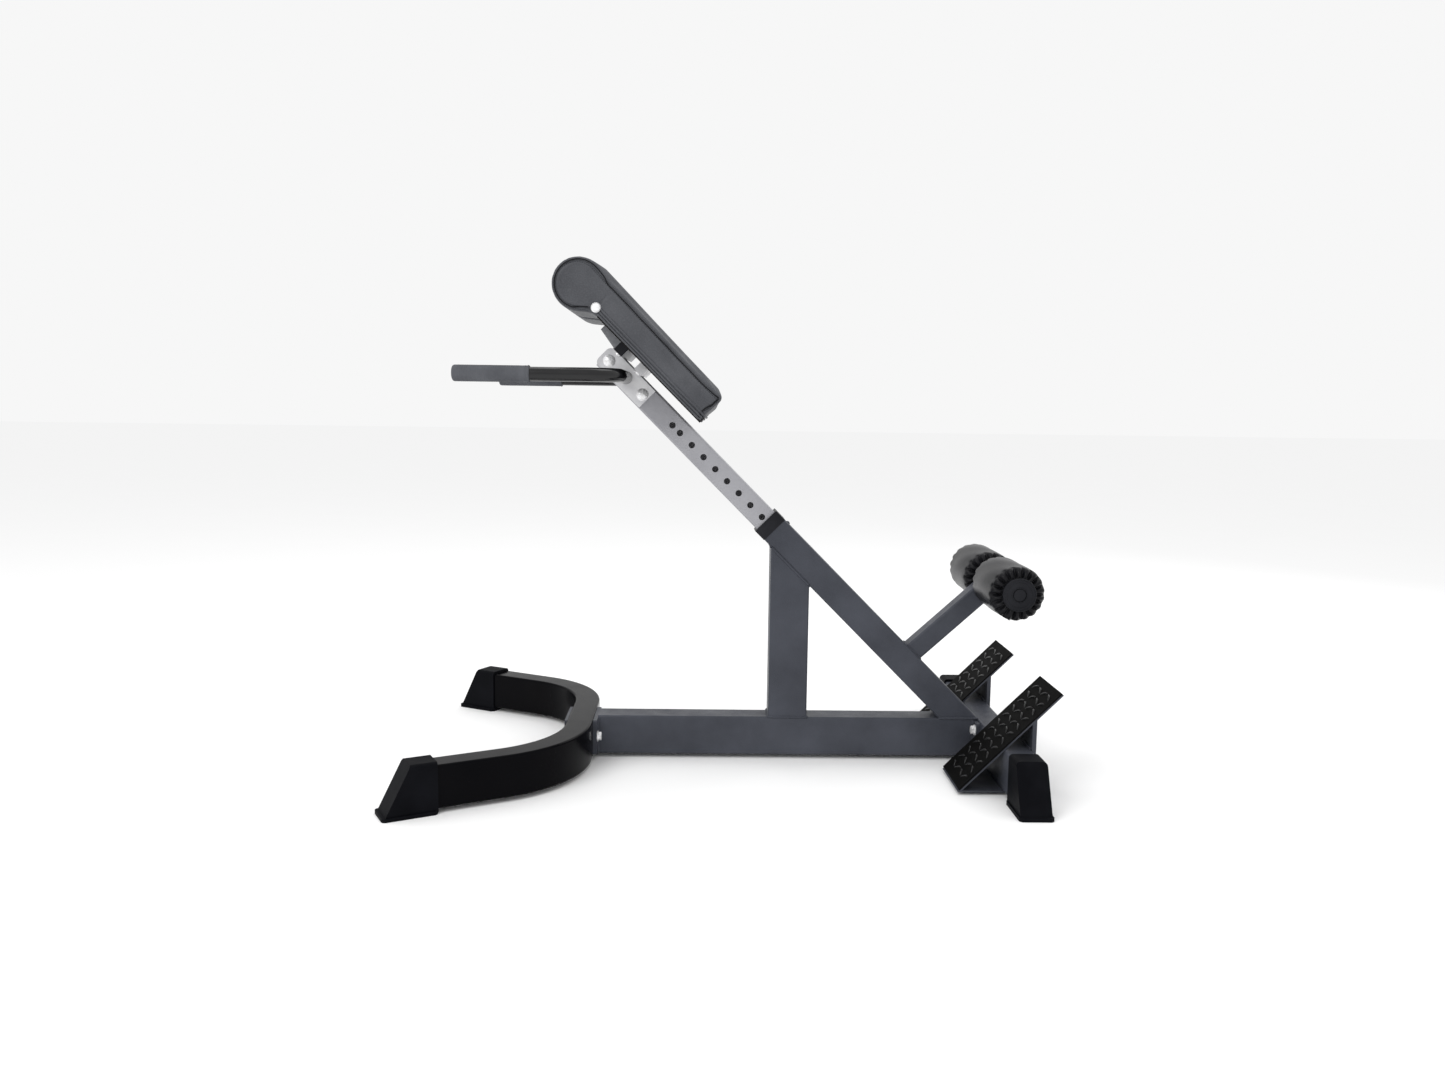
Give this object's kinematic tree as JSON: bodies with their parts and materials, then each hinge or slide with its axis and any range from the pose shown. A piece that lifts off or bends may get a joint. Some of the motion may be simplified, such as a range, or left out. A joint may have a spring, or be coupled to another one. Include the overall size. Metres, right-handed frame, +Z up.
{
  "type": "roman_chair",
  "caption": "Roman chair, a 45-degree back-extension bench: telescoping seat post with two hip pads, handlebar, ankle rollers, foot plates and U-shaped front base.",
  "frame": {"origin": "on the floor, under the middle of the part's bounding box", "axes": "+X towards the foot end (foot plates and ankle rollers), -X towards the handlebar, +Y towards the pull-pin side, +Z up"},
  "size_m": [1.262, 0.8382, 1.0026],
  "materials": {
    "frame_charcoal": "textured powder coat",
    "frame_gloss_black": "gloss powder coat",
    "post_satin": "satin metallic grey",
    "plate_steel": "bright plated steel",
    "bolt_chrome": "bright plated",
    "black_leather": "soft synthetic leather",
    "black_rubber": "matte moulded rubber",
    "black_plastic": "satin moulded plastic",
    "backing_cloth": "black backing cloth on the boards"
  },
  "bodies": {
    "frame": {"front_base_tube": "frame_gloss_black", "front_cap_left": "black_rubber", "front_cap_right": "black_rubber", "front_flange_plate": "frame_charcoal", "front_backing_plate": "frame_charcoal", "front_bolts": "bolt_chrome", "front_nuts": "bolt_chrome", "base_beam": "frame_charcoal", "rear_flange_plate": "frame_charcoal", "rear_bolts": "bolt_chrome", "rear_foot_tube": "frame_charcoal", "rear_cap_left": "black_rubber", "rear_cap_right": "black_rubber", "upright": "frame_charcoal", "sleeve": "frame_charcoal", "sleeve_bush": "black_plastic", "bush_screw": "frame_charcoal", "pin_housing": "frame_charcoal", "roller_post": "frame_charcoal", "post_end_plug": "black_plastic", "roller_axle": "plate_steel", "axle_end_screws": "black_plastic", "foot_plate_left": "frame_charcoal", "foot_plate_right": "frame_charcoal", "foot_bracket_left": "frame_charcoal", "foot_bracket_right": "frame_charcoal", "tread_mat_left": "black_rubber", "tread_mat_right": "black_rubber"},
    "seat": {"inner_tube": "post_satin", "tube_glide": "black_plastic", "head_plate_left": "plate_steel", "head_plate_right": "plate_steel", "head_bolts": "bolt_chrome", "head_nuts": "bolt_chrome", "handlebar": "frame_gloss_black", "grip_left": "black_rubber", "grip_right": "black_rubber", "pad_bracket": "post_satin", "pad_crossbar_upper": "frame_charcoal", "pad_crossbar_lower": "plate_steel", "crossbar_plugs": "black_plastic", "pad_board_left": "backing_cloth", "pad_board_right": "backing_cloth", "pad_cushion_left": "black_leather", "pad_cushion_right": "black_leather", "pad_screws": "bolt_chrome", "pad_side_bolts": "bolt_chrome"},
    "pin": {"pull_pin": "bolt_chrome", "pin_knob": "black_plastic", "pin_spring": "bolt_chrome"},
    "left_roller": {"roller_core_left": "black_plastic", "roller_foam_left": "black_leather", "roller_cap_left": "black_plastic"},
    "right_roller": {"roller_core_right": "black_plastic", "roller_foam_right": "black_leather", "roller_cap_right": "black_plastic"}
  },
  "joints": [
    {"name": "seat_slide", "type": "slide", "parent": "frame", "child": "seat", "axis": [-0.7071, 0, 0.7071], "range_m": [-0.306, 0.068]},
    {"name": "pin_pull", "type": "slide", "parent": "frame", "child": "pin", "axis": [0, 1, 0], "range_m": [0, 0.009], "stiffness_N_per_m": 800, "springref_m": -0.012, "deforming": ["pin_spring"]},
    {"name": "left_roller_spin", "type": "hinge", "parent": "frame", "child": "left_roller", "pos_m": [0.55251, -0.11, 0.3776], "axis": [0, 1, 0], "continuous": true},
    {"name": "right_roller_spin", "type": "hinge", "parent": "frame", "child": "right_roller", "pos_m": [0.55251, 0.11, 0.3776], "axis": [0, 1, 0], "continuous": true}
  ]
}
